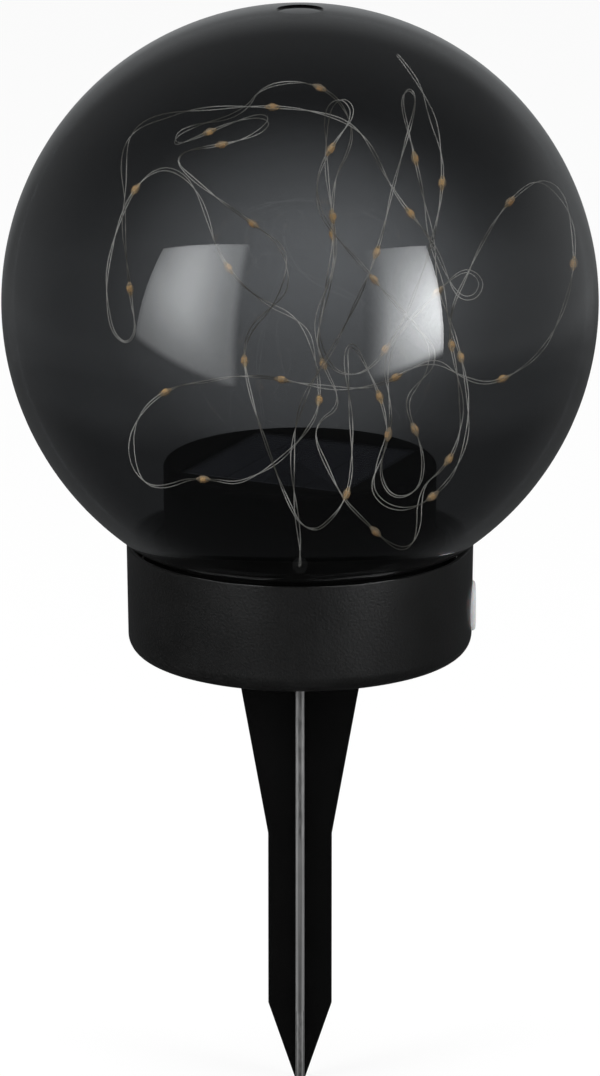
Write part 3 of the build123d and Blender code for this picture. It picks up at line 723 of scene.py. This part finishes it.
def green_board():
    """Solder-masked fibre board with a faint weave and copper tracks under the mask."""
    finish = Finish("green_board", Coat_Roughness=0.2)
    weave = finish.noise(0.0008, detail=2.0)
    shades = {"Color1": grey(1), "Color2": grey(0), "Mortar": grey(0.5)}
    tracks = finish.add("ShaderNodeTexBrick", inputs={"Vector": finish.place(), "Scale": 90.0, **shades})
    finish.drive(
        Base_Color=finish.blend(tracks, (0.012, 0.085, 0.03, 1), (0.02, 0.15, 0.05, 1)),
        Roughness=0.32 + weave * 0.15,
        Coat_Weight=0.3 + weave * 0.2,
    )
    return finish.material


def mottled(name, dark, light, size, roughness, metallic=0.0):
    """A plain moulded, plated or painted surface with cloudy wear."""
    finish = Finish(name, Metallic=metallic)
    cloud = finish.noise(size, detail=4.0)
    finish.drive(
        Base_Color=finish.blend(cloud, dark, light),
        Roughness=roughness + (cloud - 0.5) * 0.2,
        Normal=finish.bump(cloud, strength=0.08, distance=size * 0.05),
    )
    return finish.material


def enamelled_wire():
    """Bright lacquered wire, a warm silver, darkened in stretches as painted shade; these stretches are also
    duller.
    """
    finish = Finish("enamelled_wire", Metallic=0.2)
    # Dark stretches along the wire are painted shade, standing in for strands lying in shadow; they are
    # rougher as well
    dull_and_shaded = finish.ramp(finish.noise(0.016, detail=3.0), 0.4, 0.62)
    finish.drive(
        Base_Color=finish.blend(dull_and_shaded, (0.80, 0.79, 0.745, 1), (0.14, 0.135, 0.115, 1)),
        Roughness=0.2 + dull_and_shaded * 0.2,
    )
    return finish.material


def amber_drop():
    """A light's cast drop: clear resin with a warm tint."""
    finish = Finish("amber_drop", IOR=1.5, Transmission_Weight=0.72)
    tint = finish.noise(0.0012, detail=3.0)
    finish.drive(
        Base_Color=finish.blend(tint, (0.66, 0.54, 0.39, 1), (0.95, 0.87, 0.72, 1)),
        Roughness=0.08 + tint * 0.15,
    )
    finish.let_lamps_through((0.95, 0.75, 0.45, 1))
    return finish.material


def light_chip():
    """The yellow glow coating of a light's chip, which differs from light to light."""
    finish = Finish("light_chip")
    speck = finish.noise(0.0002, detail=2.0)
    batch = finish.ramp(finish.noise(0.02, detail=2.0), 0.35, 0.65)
    finish.drive(
        Base_Color=finish.blend(batch * 0.7 + speck * 0.3, (0.48, 0.31, 0.13, 1), (0.82, 0.63, 0.32, 1)),
        Roughness=0.45 + speck * 0.1,
    )
    return finish.material


def make_globe():
    """The hollow ball: open below into a neck with the twist-lock lugs, dimpled at the top by the mould."""
    bpy.ops.mesh.primitive_uv_sphere_add(
        segments=globe_segments, ring_count=globe_rings, radius=globe_radius, location=globe_centre
    )
    shell = start_piece("globe_shell")

    # cut the ball open and draw its edge down into the neck, in two steps for the lugs
    bpy.ops.object.mode_set(mode="EDIT")
    bpy.ops.mesh.select_all(action="SELECT")
    bpy.ops.mesh.bisect(plane_co=(0, 0, neck_top), plane_no=(0, 0, 1), clear_inner=True)
    leave_edit()
    pick_points(shell, lambda place: place.z < neck_top + neck_cut_room)
    extrude_down(neck_top - neck_bottom - lug_height)
    extrude_down(lug_height)
    leave_edit()

    # the gate mark at the top
    pick_faces(shell, lambda middle, normal: normal.z > straight_cosine and middle.xy.length < gate_radius)
    bpy.ops.mesh.inset(thickness=gate_rim, depth=-gate_depth)
    bpy.ops.mesh.select_all(action="SELECT")
    bpy.ops.mesh.normals_make_consistent(inside=False)
    leave_edit()
    apply_modifier(shell, "SOLIDIFY", thickness=globe_wall, offset=-1.0, use_even_offset=True)

    def on_lug(middle, normal):
        """Whether a face is on the neck's outside, at the foot of it and within a lug's angle."""
        if middle.z > neck_bottom + lug_height:
            return False
        if normal.xy.dot(middle.xy) < straight_cosine * middle.xy.length:
            return False
        angle = math.degrees(math.atan2(middle.y, middle.x))
        return any(abs((angle - lug + 180) % 360 - 180) < lug_half_angle for lug in lug_angles)

    pick_faces(shell, on_lug)
    bpy.ops.mesh.extrude_region_shrink_fatten(TRANSFORM_OT_shrink_fatten={"value": lug_reach})
    leave_edit()
    smooth(shell)
    return shell


def make_base():
    """The base's moulding, with the even curve of its drafted wall and rounded foot."""
    base = eased_copy("base_shell", "base_moulding", base_edge)
    bpy.ops.mesh.primitive_cylinder_add(
        vertices=base_steps, radius=base_foot_radius, depth=base_high.z, location=(0, 0, base_high.z / 2)
    )
    form = start_piece("base_form")
    pick_points(form, lambda place: place.z > base_high.z / 2)
    draft = base_high.y / base_foot_radius
    bpy.ops.transform.resize(value=(draft, draft, 1), center_override=(0, 0, 0))
    leave_edit()
    pick_faces(form, lambda middle, normal: normal.z < -straight_cosine)
    bpy.ops.mesh.bevel(offset=base_corner, segments=base_corner_steps, affect="EDGES")
    leave_edit()
    smooth(form)

    def on_wall(place):
        """Whether a point is on the drafted wall or on the rounded foot under it."""
        if place.z > base_corner:
            wall_radius = base_foot_radius + (base_high.y - base_foot_radius) * place.z / base_high.z
            return place.xy.length > wall_radius - wall_room
        return place.xy.length > base_foot_radius - base_corner + foot_room

    lend_normals(base, form, on_wall)
    return base


def on_rib_edge(middle, normal):
    """Whether a face of the spike is the narrow edge of one of its crossed ribs."""
    front = abs(normal.y) > straight_cosine and abs(middle.x) < rib_reach
    side = abs(normal.x) > straight_cosine and abs(middle.y) < rib_reach
    return middle.z < 0 and (front or side)


def make_button():
    """The soft cap: eased edges and a shallow dish for the finger."""
    cap = eased_copy("power_button", "button_cap", button_edge)
    lowest = button_face - button_face_room
    pick_faces(cap, lambda middle, normal: normal.x > flat_cosine and middle.x > lowest)
    bpy.ops.mesh.inset(thickness=button_rim)
    bpy.ops.mesh.inset(thickness=dish_step, depth=-dish_depth)
    bpy.ops.mesh.inset(thickness=dish_floor, depth=-dish_floor_depth)
    leave_edit()
    smooth(cap)
    return cap


def make_screw_head(radius):
    """A pan head with a cross recess, hanging from z = 0 with its recess down."""
    middle_place = (0, 0, -screw_head_height / 2)
    bpy.ops.mesh.primitive_cylinder_add(
        vertices=screw_head_steps, radius=radius, depth=screw_head_height, location=middle_place
    )
    head = start_piece("screw_head")
    pick_faces(head, lambda middle, normal: normal.z < -straight_cosine)
    bpy.ops.mesh.bevel(offset=head_bevel, segments=head_bevel_steps, affect="EDGES")
    leave_edit()
    for turn in (0, math.pi / 2):
        bpy.ops.mesh.primitive_cube_add(size=1, location=(0, 0, -screw_head_height), rotation=(0, 0, turn))
        cutter = bpy.context.object
        cutter.scale = (recess_length, recess_width, 2 * recess_depth)
        cutter = start_piece("recess")
        apply_modifier(head, "BOOLEAN", operation="DIFFERENCE", object=cutter, solver="EXACT")
        bpy.data.objects.remove(cutter)
    smooth(head)
    return head


def placed_copies(model, name, matrices):
    """Copies of a modelled piece at each place, joined into one piece. The model is used up."""
    copies = []
    for matrix in matrices:
        copy = bpy.data.objects.new(name, model.data.copy())
        copy.data.transform(matrix)
        bpy.context.scene.collection.objects.link(copy)
        copies.append(copy)
    hold(copies[0])
    for copy in copies[1:]:
        copy.select_set(True)
    bpy.ops.object.join()
    bpy.data.objects.remove(model)
    copies[0].name = name
    copies[0].data.name = name
    return copies[0]


def make_housing_screws():
    """The three screws under the base that hold the solar housing."""
    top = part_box("housing_screws")[0].z + screw_head_height
    matrices = []
    for angle, turn in zip(post_angles, cross_turns):
        around = math.radians(angle)
        place = Vector((math.cos(around), math.sin(around), 0)) * post_circle_radius
        place.z = top
        matrices.append(Matrix.Translation(place) @ Matrix.Rotation(math.radians(turn), 4, "Z"))
    return placed_copies(make_screw_head(housing_screw_radius), "housing_screw_heads", matrices)


def make_door_screw():
    """The battery door's screw."""
    low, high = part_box("door_screw")
    place = (low + high) / 2
    place.z = low.z + screw_head_height
    return placed_copies(make_screw_head(door_screw_radius), "door_screw_head", [Matrix.Translation(place)])


def string_line():
    """Points along the light string: a smooth NURBS line on its route."""
    curve = bpy.data.curves.new("string_line", "CURVE")
    curve.dimensions = "3D"
    spline = curve.splines.new("NURBS")
    spline.points.add(len(string_route) - 1)
    for point, place in zip(spline.points, string_route):
        point.co = (*place, 1)
    spline.order_u = 3
    spline.use_endpoint_u = True
    spline.resolution_u = string_steps
    holder = bpy.data.objects.new("string_line", curve)
    bpy.context.scene.collection.objects.link(holder)
    mesh = bpy.data.meshes.new_from_object(holder)
    points = [vertex.co.copy() for vertex in mesh.vertices]
    bpy.data.objects.remove(holder)
    bpy.data.meshes.remove(mesh)
    return points


def frames_along(points):
    """For each point, its direction and a side direction that turns as little as it can."""
    frames = []
    side = Vector((1, 0, 0))
    for index, point in enumerate(points):
        before = points[max(index - 1, 0)]
        after = points[min(index + 1, len(points) - 1)]
        along = (after - before).normalized()
        side = (side - along * side.dot(along)).normalized()
        frames.append((along, side))
    return frames


def light_spots(points):
    """The number of the point nearest to the middle of each light's run."""
    spots = []
    for run in light_runs:
        middle = (Vector(string_route[run]) + Vector(string_route[run + 1])) / 2
        spots.append(min(range(len(points)), key=lambda spot: (points[spot] - middle).length))
    return spots


def slack_along(points, spots):
    """How far the strands part at each point: most halfway between lights, not at all at them."""
    slack = []
    stops = [0, *spots, len(points) - 1]
    for number, (start, end) in enumerate(zip(stops, stops[1:])):
        most = strand_slack[number % len(strand_slack)]
        for index in range(start, end):
            slack.append(most * math.sin(math.pi * (index - start) / (end - start)) ** 2)
    return [*slack, 0.0]


def make_string(points, frames, spots):
    """The light string's two lacquered strands, wound loosely and slack between the lights."""
    curve = bpy.data.curves.new("light_string", "CURVE")
    curve.dimensions = "3D"
    curve.bevel_depth = strand_diameter / 2
    curve.bevel_resolution = 1
    curve.use_fill_caps = True
    slacks = slack_along(points, spots)
    for start in (0.0, math.pi):
        strand = curve.splines.new("POLY")
        strand.points.add(len(points) - 1)
        gone = 0.0
        last = points[0]
        for spot, place, (along, side), slack in zip(strand.points, points, frames, slacks):
            gone += (place - last).length
            last = place
            angle = start + gone / strand_pitch * 2 * math.pi
            outwards = side * math.cos(angle) + along.cross(side) * math.sin(angle)
            spot.co = (*(place + outwards * (strand_offset + slack)), 1)
    string = bpy.data.objects.new("light_string", curve)
    bpy.context.scene.collection.objects.link(string)
    hold(string)
    bpy.ops.object.convert(target="MESH")
    smooth(string, round_smooth_angle)
    return string


def light_places(points, frames, spots):
    """A matrix for each light: in the middle of its run, along the string."""
    matrices = []
    for index in spots:
        along, side = frames[index]
        turned = Matrix((side, along.cross(side), along)).transposed().to_4x4()
        matrices.append(Matrix.Translation(points[index]) @ turned)
    return matrices


def make_drop():
    """One light's cast drop: long, fuller at one end, drawn out along the strands at both."""
    bpy.ops.mesh.primitive_uv_sphere_add(
        segments=drop_segments, ring_count=drop_rings, radius=drop_diameter / 2
    )
    drop = start_piece("drop")
    bpy.ops.object.mode_set(mode="EDIT")
    bpy.ops.mesh.select_all(action="SELECT")
    bpy.ops.transform.resize(value=(1, 1, drop_length / drop_diameter))
    leave_edit()
    for end, width in drop_end_widths.items():
        pick_points(drop, lambda place: place.z * end > drop_length * drop_end_start)
        bpy.ops.transform.resize(value=(width, width, 1), center_override=(0, 0, 0))
        leave_edit()
    smooth(drop, round_smooth_angle)
    return drop


def make_light_chip():
    """One light's chip, with eased corners, beside the strands."""
    bpy.ops.mesh.primitive_cube_add(size=1, location=light_chip_place)
    chip = bpy.context.object
    chip.scale = light_chip_size
    chip = start_piece("chip")
    ease_edges(chip, light_chip_edge)
    return chip


def make_floor():
    """A pale floor that the camera sees as white, but for the lamp's shadow. It is clear from below."""
    bpy.ops.mesh.primitive_plane_add(size=floor_size, location=(0, 0, floor_height))
    floor = start_piece("floor")
    finish = Finish("pale_floor", Roughness=floor_roughness, Base_Color=grey(floor_grey))
    sight = finish.add("ShaderNodeLightPath", output="Is Camera Ray")
    white = finish.glow(grey(1), sight_light)
    from_above = finish.mix(sight * floor_white_share, finish.surface, white)
    below = finish.add("ShaderNodeNewGeometry", output="Backfacing")
    finish.show(finish.mix(below, from_above, finish.add("ShaderNodeBsdfTransparent")))
    floor.data.materials.append(finish.material)
    floor.visible_glossy = False
    floor.visible_transmission = False


def ball_direction(azimuth, elevation):
    """The direction from the ball at an azimuth, from the front towards the right, and an elevation."""
    around = math.radians(azimuth)
    up = math.radians(elevation)
    return Vector((math.sin(around) * math.cos(up), -math.cos(around) * math.cos(up), math.sin(up)))


def stage_light(piece, material):
    """Makes a piece of the stage show only in reflections and through clear pieces."""
    material.cycles.emission_sampling = "NONE"
    piece.data.materials.append(material)
    piece.visible_camera = False
    piece.visible_diffuse = False
    piece.visible_shadow = False


def make_room():
    """The dim room round the lamp: a dark table, dark walls and a paler wall at the back.

    Reflections show the room, and clear pieces show a soft glow straight through them.
    """
    bpy.ops.mesh.primitive_uv_sphere_add(
        segments=room_segments, ring_count=room_rings, radius=room_radius, location=globe_centre
    )
    room = start_piece("room")
    bpy.ops.object.mode_set(mode="EDIT")
    bpy.ops.mesh.select_all(action="SELECT")
    table_cut = {"plane_co": (0, 0, table_height), "plane_no": (0, 0, 1)}
    bpy.ops.mesh.bisect(clear_inner=True, use_fill=True, **table_cut)
    leave_edit()
    finish = Finish("room_light")
    arm = finish.add("ShaderNodeVectorMath", {"operation": "SUBTRACT"}, {0: finish.place(), 1: globe_centre})
    away = finish.add("ShaderNodeVectorMath", {"operation": "NORMALIZE"}, {0: arm})
    across = finish.axis(away, "X")
    depth = finish.axis(away, "Y")
    rise = finish.axis(away, "Z")

    def near(elevation, outer, inner):
        """1 within an angle of the direction straight behind at an elevation, 0 outside a wider one."""
        up = math.radians(elevation)
        towards = (0, math.cos(up), math.sin(up))
        directions = {0: away, 1: towards}
        cosine = finish.add("ShaderNodeVectorMath", {"operation": "DOT_PRODUCT"}, directions, output="Value")
        return finish.ramp(cosine, math.cos(math.radians(outer)), math.cos(math.radians(inner)))

    def risen(low, high):
        """0 below one elevation and 1 above another."""
        return finish.ramp(rise, math.sin(math.radians(low)), math.sin(math.radians(high)))

    # what reflections show
    back_wall = back_wall_light * near(back_wall_rise, *back_wall_angles)
    back_wall = back_wall + horizon_light * near(horizon_rise, *horizon_angles)
    right_wall = finish.ramp(across, *side_wall_span)
    left_wall = finish.ramp(0 - across, *side_wall_span)
    side_walls = side_wall_light * (right_wall + left_wall_share * left_wall) * (1 - risen(*side_wall_end))
    table = table_light + far_table_light * finish.ramp(depth, *far_table_span)
    reflected = table + risen(*wall_foot) * (back_wall + side_walls + dark_room_light)

    # what clear pieces show
    haze = through_light * (1 - through_top_loss * risen(*through_top))
    haze = haze * (1 - through_foot_share + through_foot_share * risen(*through_foot))
    soft_glow = glow_light * near(-camera_elevation, *glow_angles)
    sideways = (across - bright_glow_across) / bright_glow_spread[0]
    upwards = (rise - math.sin(math.radians(bright_glow_rise))) / bright_glow_spread[1]
    behind = depth > 0
    bright_glow = bright_glow_light * finish.bell(sideways, upwards) * behind
    seen_through = soft_glow + haze + bright_glow

    clear = finish.add("ShaderNodeLightPath", output="Is Transmission Ray")
    strength = clear * seen_through + (1 - clear) * reflected
    finish.show(finish.glow(room_tint, strength))
    stage_light(room, finish.material)


def make_soft_card(name, corners, core, spread, fade, edge_light, core_light):
    """A softbox that only glossy surfaces show: a plane through four directions, with a bright core.

    It doesn't show straight through the ball, which takes rays through both of its walls.
    """
    bpy.ops.mesh.primitive_plane_add(size=1)
    card = start_piece(name)
    lower_inner, lower_outer, upper_outer, upper_inner = (ball_direction(*corner) for corner in corners)
    directions = (lower_inner, lower_outer, upper_inner, upper_outer)
    for point, direction in zip(card.data.vertices, directions):
        point.co = globe_centre + direction * card_distance
    finish = Finish(name + "_light")
    across = finish.axis(finish.place("UV"), "X")
    up = finish.axis(finish.place("UV"), "Y")
    core_share = finish.bell((across - core[0]) / spread[0], (up - core[1]) / spread[1])
    faded = finish.ramp(across, 0.0, fade[0]) * finish.ramp(up, 0.0, fade[1])
    one_wall = finish.add("ShaderNodeLightPath", output="Transmission Depth") < faces_of_one_wall
    strength = (core_share * core_light + edge_light) * faded * one_wall
    finish.show(finish.glow(card_tint, strength))
    stage_light(card, finish.material)


def make_lamp(name, place, size, watts):
    """A soft lamp aimed at the ball."""
    bpy.ops.object.light_add(type="AREA", location=place)
    lamp = bpy.context.object
    lamp.name = name
    lamp.data.shape = "SQUARE"
    lamp.data.size = size
    lamp.data.energy = watts
    lamp.rotation_mode = "QUATERNION"
    lamp.rotation_quaternion = (Vector(place) - globe_centre).to_track_quat("Z", "Y")
    lamp.visible_glossy = False
    lamp.visible_transmission = False


def make_world():
    """A background that is white wherever it is seen, also in gloss and glass, and a softer fill light."""
    world = bpy.data.worlds.new("studio")
    world.use_nodes = True
    bpy.context.scene.world = world
    nodes = world.node_tree.nodes
    links = world.node_tree.links
    rays = nodes.new("ShaderNodeLightPath")
    seen = rays.outputs["Is Camera Ray"]
    for kind in ("Is Transmission Ray", "Is Glossy Ray"):
        either = nodes.new("ShaderNodeMath")
        either.operation = "MAXIMUM"
        links.new(seen, either.inputs[0])
        links.new(rays.outputs[kind], either.inputs[1])
        seen = either.outputs[0]
    strength = nodes.new("ShaderNodeMapRange")
    strength.inputs["To Min"].default_value = fill_light
    strength.inputs["To Max"].default_value = sight_light
    links.new(seen, strength.inputs["Value"])
    background = nodes["Background"]
    background.inputs["Color"].default_value = (1, 1, 1, 1)
    links.new(strength.outputs[0], background.inputs["Strength"])


def make_camera():
    """The photograph's view: level across, looking down at the ball from the front."""
    rise = math.radians(camera_elevation)
    data = bpy.data.cameras.new("camera")
    data.sensor_width = sensor_size
    data.lens = focal_pixels / photo_height * sensor_size
    data.clip_end = camera_reach
    camera = bpy.data.objects.new("camera", data)
    camera.location = globe_centre + Vector((0, -math.cos(rise), math.sin(rise))) * camera_distance
    camera.rotation_euler = (math.radians(90 - camera_pitch), 0, 0)
    bpy.context.scene.collection.objects.link(camera)
    bpy.context.scene.camera = camera


# Stage
make_camera()
make_world()
make_floor()
make_room()
for name, settings in cards.items():
    make_soft_card(name, **settings)
for name, settings in lamps.items():
    make_lamp(name, **settings)
bpy.context.scene.view_settings.view_transform = "Standard"

# Finishes that several pieces share
black = grained_black()
gloss = gloss_black()
rubber = black_rubber()
steel = mottled("zinc_steel", grey(0.50), grey(0.68), size=0.0012, roughness=0.32, metallic=1.0)
tin = mottled("can_metal", grey(0.55), grey(0.72), size=0.002, roughness=0.3, metallic=1.0)
wrap = mottled("cell_wrap", (0.05, 0.22, 0.08, 1), (0.08, 0.30, 0.12, 1), size=0.006, roughness=0.35)
nylon = mottled("white_nylon", grey(0.62), grey(0.74), size=0.002, roughness=0.45)
lead = mottled("lead_cover", (0.30, 0.03, 0.02, 1), (0.45, 0.05, 0.04, 1), size=0.004, roughness=0.4)
wire = enamelled_wire()

# The light string
line = string_line()
line_frames = frames_along(line)
lights = light_spots(line)
places = light_places(line, line_frames, lights)
string = finished(make_string(line, line_frames, lights), wire, "base", "string_metal", "led_wire")
drops = placed_copies(make_drop(), "light_drops", places)
finished(drops, amber_drop(), "base", "amber_drop", "led_beads")
chips = placed_copies(make_light_chip(), "light_chips", places)
finished(chips, light_chip(), "base", "amber_drop")

# Other pieces that show
finished(make_globe(), smoked_plastic(), "globe", "smoked_clear", "globe")
finished(make_base(), black, "base", "black_satin", "base_shell")
housing = eased_copy("panel_housing", "housing_moulding", housing_edge)
finished(housing, dull_black(), "base", "black_satin", "panel_housing")
spike = eased_copy("spike", "spike_moulding", spike_edge)
finished(spike, gloss, "spike", "black_gloss", "spike")
second_material(spike, scuffed_and_highlit_black(), on_rib_edge)
door = eased_copy("battery_door", "door_moulding", door_edge)
finished(door, black, "base", "black_satin", "battery_door")
finished(make_button(), pale_silicone(), "button", "grey_rubber", "power_button")
finished(make_housing_screws(), steel, "base", "bright_steel", "housing_screws")
finished(make_door_screw(), steel, "base", "bright_steel", "door_screw")

# CAD pieces that keep their shape
node_materials = {
    "globe_seal": rubber,
    "door_seal": rubber,
    "wire_grommet": rubber,
    "inductor": rubber,
    "panel_board": panel_backing(),
    "solar_cells": solar_cell(panel_turn),
    "panel_resin": cast_resin(),
    "circuit_board": green_board(),
    "driver_chip": black,
    "capacitor": tin,
    "battery_tub": black,
    "battery_cell": wrap,
    "positive_contact": steel,
    "negative_contact": steel,
    "board_screws": steel,
    "switch_body": gloss,
    "switch_plunger": nylon,
    "panel_leads": lead,
    "battery_leads": lead,
    "switch_leads": lead,
    "led_lead": wire,
}
for node, material in node_materials.items():
    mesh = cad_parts[node].data
    mesh.materials.clear()
    mesh.materials.append(material)
